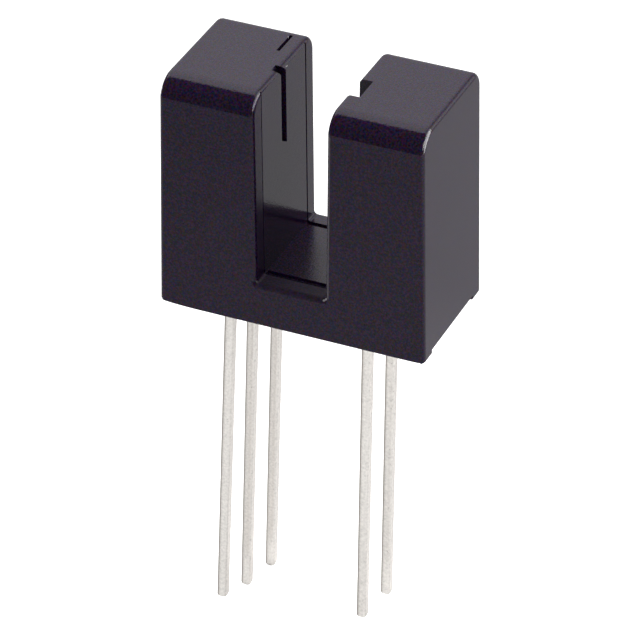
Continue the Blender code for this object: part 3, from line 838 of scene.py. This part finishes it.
def lead_shape(name, size):
    half = size["size"] / 2.0
    edge = size["edge"]
    tip = -LEADS[name]["length"]
    rings = []
    for step in range(TIP_STEPS):
        turn = math.radians(90.0 * step / TIP_STEPS)
        inset = TIP_TAPER * size["tip"] * (1.0 - math.sin(turn))
        height = tip + size["tip"] * (1.0 - math.cos(turn))
        rings.append(section(lead_x(name, height), half - inset, inset - half, half - inset,
                             min(edge, half - inset - TOLERANCE), height))
    heights = [tip + size["tip"]] + [tip + rise for rise in FROM_TIP] + [0.0, BEND_BOTTOM]
    heights += [BEND_BOTTOM + (BEND_TOP - BEND_BOTTOM) * step / BEND_STEPS
                for step in range(1, BEND_STEPS + 1)]
    heights.append(HEAD_BOTTOM - HEAD_NECK)
    for height in heights:
        rings.append(section(lead_x(name, height), half, -half, half, edge, height))
    low, high = head_span(name, half)
    for height in (HEAD_BOTTOM, HEAD_TOP):
        rings.append(section(lead_x(name, height), half, low, high, edge, height))
    shape = loft(rings)
    bmesh.ops.translate(shape, verts=shape.verts, vec=(LEADS[name]["foot"], LEADS[name]["row"], 0.0))
    return shape


def paint_shade_on_leads(tree, shader):
    """Painted shade: the tin's colour is darkened on the rounded left edges, on the right sides and
    on the backs, for how light falls on them.
    """
    facing = add_node(tree, "ShaderNodeSeparateXYZ", (-900, 500))
    tree.links.new(node_of(tree, "TEX_COORD").outputs["Normal"], facing.inputs[0])
    base = shader.inputs["Base Color"]
    for axis, start, full, shade in LEAD_PAINTED_SHADES:
        mask = ramp(tree, (-700, 500), facing.outputs[axis], start, full)
        tree.links.new(tinted(tree, (-300, 500), mask, base.links[0].from_socket, shade,
                              "MULTIPLY"), base)


def build_leads(settings):
    size = in_mm(settings)
    low, high = tones(settings.tin, dark=0.88, light=1.07)
    tinned, shader = surface_material(
        "tinned_finish_with_painted_shade", worked_metal(), low, high, bump=0.000003, metallic=1.0,
        Roughness=settings.roughness, Spread=0.25, Line_Scale=9000.0, Mottle_Scale=9000.0,
        Mottle=0.9, Contrast=3.0)
    paint_shade_on_leads(tinned.node_tree, shader)
    for name in LEADS:
        lead = put_in_scene(name + "_tinned", lead_shape(name, size))
        lead.data.shade_smooth()
        lead.data.set_sharp_from_angle(angle=LEAD_CREASE)
        finish_piece(lead, tinned, name)


# Inside

EPOXY_INDEX = 1.55


def dress(names, material):
    """Give CAD nodes whose shape is right a better material."""
    for name in names:
        mesh = frame["nodes"][name].data
        mesh.materials.clear()
        mesh.materials.append(material)


def build_packages(settings):
    low, high = tones(settings.epoxy, dark=0.8, light=1.3)
    epoxy, shader = surface_material(
        "package_epoxy_finish", moulded_surface(), low, high, bump=0.0000015, Roughness=0.12,
        Spread=0.06, Wave_Scale=500.0, Grain_Scale=18000.0, Grain=0.1)
    shader.inputs["IOR"].default_value = EPOXY_INDEX
    dress(("emitter_package", "sensor_package"), epoxy)


def build_chips(settings):
    low, high = tones(settings.chip, dark=0.8, light=1.2)
    silicon = surface_material(
        "chip_finish", worked_metal(), low, high, bump=0.0000005, metallic=0.6, Roughness=0.25,
        Spread=0.05, Line_Scale=20000.0, Mottle_Scale=9000.0, Mottle=0.3)[0]
    dress(("emitter_die", "sensor_die"), silicon)
    low, high = tones(settings.gold, dark=0.9, light=1.08)
    gold = surface_material(
        "bond_wire_finish", worked_metal(), low, high, bump=0.0000005, metallic=1.0, Roughness=0.22,
        Spread=0.05, Line_Scale=30000.0, Mottle_Scale=20000.0, Mottle=0.3)[0]
    dress(("emitter_bond_wire", "sensor_bond_wire_supply", "sensor_bond_wire_output"), gold)


def build_potting(settings):
    low, high = tones(settings.potting, dark=0.75, light=1.4)
    compound = surface_material(
        "potting_finish", moulded_surface(), low, high, bump=0.00002, Roughness=0.55, Spread=0.2,
        Wave_Scale=700.0, Grain_Scale=9000.0, Grain=0.5)[0]
    dress(("emitter_potting", "sensor_potting"), compound)


# Stage, in metres

FLOOR_HALF = 1.5
FLOOR_DROP = 0.00002
LEFT_FADE = (-0.03, -0.006)
BACK_FADE = (0.002, 0.028)
DARKEST_PAPER = 0.2
PALEST_PAPER = 0.8
BACKDROP_TOP = math.radians(86.0)
BACKDROP_STEPS = 32
BACKDROP_SIDES = 1.4
RIGHT_GLOW = (0.06, 0.2)
DIM_START = (0.05, 0.08)
DIM_END = (0.15, 0.19)
DIM_SHARE = 0.5
SENSOR_WIDTH = 36.0

# Name, azimuth, elevation, distance, width, height, brightness, and whether it lights matt
# surfaces or reflections
LAMPS = (
    ("lamp_right", 112.0, 13.0, 0.07, 0.044, 0.064, 17.0, False),
    ("lamp_right_high", 80.0, 22.0, 0.09, 0.04, 0.04, 18.0, False),
    ("lamp_left", 256.0, -7.0, 0.09, 0.03, 0.01, 5.0, False),
    ("lamp_front", 12.0, 6.0, 0.3, 0.3, 0.3, 1.0, True),
)


def background_light(tree, place, settings):
    """Light that the floor adds for camera rays, and for glossy and transmission rays."""
    path = add_node(tree, "ShaderNodeLightPath", place)
    mirrored = maths(tree, (place[0] + 200, place[1]), "MAXIMUM", path.outputs["Is Glossy Ray"],
                     path.outputs["Is Transmission Ray"])
    mirrored = maths(tree, (place[0] + 400, place[1]), "MULTIPLY", mirrored, settings.reflected)
    return maths(tree, (place[0] + 600, place[1]), "MULTIPLY_ADD",
                 path.outputs["Is Camera Ray"], settings.background, mirrored)


def floor_material(settings):
    """Pale paper whose light falls off to the left and to the back of the part."""
    material = bpy.data.materials.new("floor_paper")
    material.use_nodes = True
    tree = material.node_tree
    tree.nodes.clear()
    place = add_node(tree, "ShaderNodeTexCoord", (-1100, 300))
    parts = add_node(tree, "ShaderNodeSeparateXYZ", (-900, 300))
    tree.links.new(place.outputs["Object"], parts.inputs[0])
    middle = settings.floor_front - FLOOR_HALF
    left = ramp(tree, (-700, 400), parts.outputs["X"], *LEFT_FADE, -settings.floor_left, 0.0)
    back = ramp(tree, (-700, 200), parts.outputs["Y"], middle + BACK_FADE[0],
                middle + BACK_FADE[1], 0.0, -settings.floor_back)
    tone = maths(tree, (-500, 300), "ADD", left, back)
    tone = maths(tree, (-400, 300), "ADD", tone, settings.floor_tone)
    tone = maths(tree, (-300, 300), "MAXIMUM", tone, DARKEST_PAPER)
    tone = maths(tree, (-100, 300), "MINIMUM", tone, PALEST_PAPER)
    paper = add_node(tree, "ShaderNodeBsdfDiffuse", (100, 300))
    tree.links.new(tone, paper.inputs["Color"])
    glow = add_node(tree, "ShaderNodeEmission", (0, -100))
    strength = background_light(tree, (-900, -100), settings)
    tree.links.new(strength, glow.inputs["Strength"])
    both = add_node(tree, "ShaderNodeAddShader", (250, 100))
    out = add_node(tree, "ShaderNodeOutputMaterial", (450, 100))
    tree.links.new(paper.outputs[0], both.inputs[0])
    tree.links.new(glow.outputs[0], both.inputs[1])
    tree.links.new(both.outputs[0], out.inputs["Surface"])
    return material


def build_floor(settings):
    shape = bmesh.new()
    bmesh.ops.create_grid(shape, x_segments=1, y_segments=1, size=FLOOR_HALF)
    floor = put_in_scene("floor", shape)
    floor.location = (0.0, FLOOR_HALF - settings.floor_front, CAD_BOX[0].z - FLOOR_DROP)
    floor.data.materials.append(floor_material(settings))


def backdrop_material(settings):
    """A glow that grows with height and to the right, with a dim stretch right of the middle."""
    material = bpy.data.materials.new("backdrop_glow")
    material.use_nodes = True
    tree = material.node_tree
    tree.nodes.clear()
    place = add_node(tree, "ShaderNodeTexCoord", (-900, 0))
    split = add_node(tree, "ShaderNodeSeparateXYZ", (-700, 0))
    tree.links.new(place.outputs["Object"], split.inputs[0])
    rise = maths(tree, (-500, 0), "DIVIDE", split.outputs["Z"], settings.sky_reach)
    square = maths(tree, (-300, 0), "MULTIPLY", rise, rise)
    side = ramp(tree, (-500, -200), split.outputs["X"], *RIGHT_GLOW, settings.sky_low,
                settings.sky_low + settings.sky_right)
    strength = maths(tree, (-100, 0), "MULTIPLY_ADD", square, settings.sky_high, side)
    near = ramp(tree, (-500, -450), split.outputs["X"], *DIM_START, 1.0, DIM_SHARE)
    far = ramp(tree, (-500, -700), split.outputs["X"], *DIM_END, DIM_SHARE, 1.0)
    gap = maths(tree, (-300, -500), "MAXIMUM", near, far)
    strength = maths(tree, (0, -200), "MULTIPLY", strength, gap)
    glow = add_node(tree, "ShaderNodeEmission", (100, 0))
    tree.links.new(strength, glow.inputs["Strength"])
    out = add_node(tree, "ShaderNodeOutputMaterial", (300, 0))
    tree.links.new(glow.outputs[0], out.inputs["Surface"])
    return material


def build_backdrop(settings):
    """A quarter of a wide tube behind and above the part. Only reflections and the light see it."""
    reach = settings.sky_reach
    shape = bmesh.new()
    rows = []
    for step in range(BACKDROP_STEPS + 1):
        angle = BACKDROP_TOP * step / BACKDROP_STEPS
        rows.append([shape.verts.new((side * reach, reach * math.cos(angle),
                                      reach * math.sin(angle)))
                     for side in (-BACKDROP_SIDES, BACKDROP_SIDES)])
    for lower, upper in zip(rows, rows[1:]):
        shape.faces.new((lower[0], lower[1], upper[1], upper[0]))
    backdrop = put_in_scene("backdrop", shape)
    backdrop.location = (0.0, 0.0, CAD_BOX[0].z)
    backdrop.data.materials.append(backdrop_material(settings))
    backdrop.visible_camera = False


def build_world(settings):
    world = bpy.data.worlds.new("studio")
    bpy.context.scene.world = world
    world.use_nodes = True
    tree = world.node_tree
    background = tree.nodes["Background"]
    path = add_node(tree, "ShaderNodeLightPath", (-800, 0))
    strength = ramp(tree, (-300, 0), path.outputs["Is Camera Ray"], 0.0, 1.0, settings.ambient, 1.0)
    background.inputs["Color"].default_value = (1.0, 1.0, 1.0, 1.0)
    tree.links.new(strength, background.inputs["Strength"])


def add_lamp(name, azimuth, elevation, distance, width, height, brightness, matt):
    """A soft box that faces the part. Brightness is what a mirror would show of it. It lights
    either matt surfaces or reflections, so that each can be set on its own."""
    lamp = bpy.data.lights.new(name, "AREA")
    lamp.shape = "RECTANGLE"
    lamp.size = width
    lamp.size_y = height
    lamp.energy = brightness * math.pi * width * height
    item = bpy.data.objects.new(name, lamp)
    turn = math.radians(azimuth)
    lift = math.radians(elevation)
    away = Vector((math.sin(turn) * math.cos(lift), -math.cos(turn) * math.cos(lift),
                   math.sin(lift)))
    item.location = away * distance
    item.rotation_euler = away.to_track_quat("Z", "Y").to_euler()
    item.visible_camera = False
    item.visible_diffuse = matt
    item.visible_glossy = not matt
    bpy.context.scene.collection.objects.link(item)


def build_camera(settings):
    azimuth = settings.azimuth
    elevation = settings.elevation
    back = Vector((math.sin(azimuth) * math.cos(elevation),
                   -math.cos(azimuth) * math.cos(elevation), math.sin(elevation)))
    right = Vector((math.cos(azimuth), math.sin(azimuth), 0.0))
    up = back.cross(right)
    turned_right = right * math.cos(settings.roll) + up * math.sin(settings.roll)
    turned_up = up * math.cos(settings.roll) - right * math.sin(settings.roll)
    target = right * settings.aim_right + up * settings.aim_up
    place = target + back * settings.distance
    camera = bpy.data.objects.new("camera", bpy.data.cameras.new("camera"))
    camera.data.sensor_width = SENSOR_WIDTH
    camera.data.lens = settings.lens
    camera.data.clip_start = 0.001
    camera.matrix_world = Matrix((
        (turned_right.x, turned_up.x, back.x, place.x),
        (turned_right.y, turned_up.y, back.y, place.y),
        (turned_right.z, turned_up.z, back.z, place.z),
        (0.0, 0.0, 0.0, 1.0)))
    bpy.context.scene.collection.objects.link(camera)
    bpy.context.scene.camera = camera


def build_stage(settings):
    build_floor(settings)
    build_backdrop(settings)
    build_world(settings)
    for lamp in LAMPS:
        add_lamp(*lamp)
    build_camera(settings)
    bpy.context.scene.view_settings.view_transform = "Standard"


# Operators and panel

class SWITCH_OT_housing(bpy.types.Operator):
    """Model the moulded housing with its slot, grooves and apertures"""
    bl_idname = "optical_switch.housing"
    bl_label = "Housing"

    def execute(self, context):
        build_housing(context.scene.switch_housing)
        return {"FINISHED"}


class SWITCH_OT_leads(bpy.types.Operator):
    """Model the five tinned leads"""
    bl_idname = "optical_switch.leads"
    bl_label = "Leads"

    def execute(self, context):
        build_leads(context.scene.switch_leads)
        return {"FINISHED"}


class SWITCH_OT_packages(bpy.types.Operator):
    """Finish the emitter and sensor packages"""
    bl_idname = "optical_switch.packages"
    bl_label = "Packages"

    def execute(self, context):
        build_packages(context.scene.switch_inside)
        return {"FINISHED"}


class SWITCH_OT_chips(bpy.types.Operator):
    """Finish the chips and their bond wires"""
    bl_idname = "optical_switch.chips"
    bl_label = "Chips and bond wires"

    def execute(self, context):
        build_chips(context.scene.switch_inside)
        return {"FINISHED"}


class SWITCH_OT_potting(bpy.types.Operator):
    """Finish the potting in the mouths of the arms"""
    bl_idname = "optical_switch.potting"
    bl_label = "Potting"

    def execute(self, context):
        build_potting(context.scene.switch_inside)
        return {"FINISHED"}


class SWITCH_OT_stage(bpy.types.Operator):
    """Set up the floor, the lamps and the camera"""
    bl_idname = "optical_switch.stage"
    bl_label = "Stage"

    def execute(self, context):
        build_stage(context.scene.switch_stage)
        return {"FINISHED"}


OPERATORS = (SWITCH_OT_housing, SWITCH_OT_leads, SWITCH_OT_packages, SWITCH_OT_chips,
             SWITCH_OT_potting, SWITCH_OT_stage)


class SWITCH_PT_panel(bpy.types.Panel):
    """Lists the steps that dress the switch"""
    bl_label = "Optical Switch"
    bl_space_type = "VIEW_3D"
    bl_region_type = "UI"
    bl_category = "Optical Switch"

    def draw(self, context):
        for operator in OPERATORS:
            self.layout.operator(operator.bl_idname)


SETTINGS = {
    "switch_housing": HousingSettings,
    "switch_leads": LeadSettings,
    "switch_inside": InsideSettings,
    "switch_stage": StageSettings,
}


def register():
    for group in SETTINGS.values():
        bpy.utils.register_class(group)
    for name, group in SETTINGS.items():
        setattr(bpy.types.Scene, name, bpy.props.PointerProperty(type=group))
    for operator in OPERATORS:
        bpy.utils.register_class(operator)
    bpy.utils.register_class(SWITCH_PT_panel)


def unregister():
    bpy.utils.unregister_class(SWITCH_PT_panel)
    for operator in reversed(OPERATORS):
        bpy.utils.unregister_class(operator)
    for name in SETTINGS:
        delattr(bpy.types.Scene, name)
    for group in reversed(list(SETTINGS.values())):
        bpy.utils.unregister_class(group)


def main():
    register()
    bpy.ops.optical_switch.housing()
    bpy.ops.optical_switch.leads()
    bpy.ops.optical_switch.packages()
    bpy.ops.optical_switch.chips()
    bpy.ops.optical_switch.potting()
    bpy.ops.optical_switch.stage()


if __name__ == "__main__":
    main()
